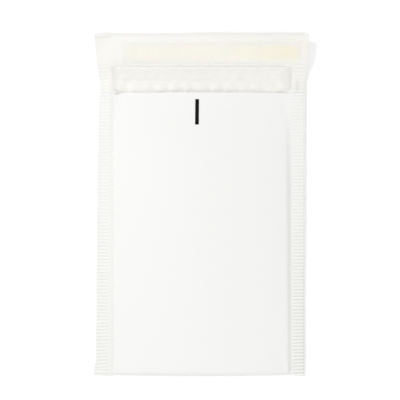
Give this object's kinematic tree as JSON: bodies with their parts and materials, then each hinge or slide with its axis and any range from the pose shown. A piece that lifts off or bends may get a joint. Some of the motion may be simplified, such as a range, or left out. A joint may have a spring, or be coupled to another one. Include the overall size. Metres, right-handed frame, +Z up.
{
  "type": "padded envelope",
  "caption": "Small white paper mailing envelope lined with bubble film, mouth slightly open, sides crimped in ribs, flap up with its covered adhesive strip.",
  "frame": {"origin": "on the surface it lies on, under the middle of its outer width and length", "axes": "+X across the envelope to the right of someone who looks down on its front, +Y from the bottom fold to the flap, +Z up, out of the front panel"},
  "size_m": [0.15, 0.2458, 0.0145],
  "materials": {
    "white_paper": "matte",
    "bubble_film": "satin",
    "adhesive": "satin",
    "liner_film": "satin",
    "black_ink": "matte"
  },
  "bodies": {
    "root": {"outer_wrap": "white_paper", "bubble_lining": "bubble_film", "adhesive_strip": "adhesive", "release_liner": "liner_film", "registration_mark": "black_ink"}
  },
  "joints": []
}
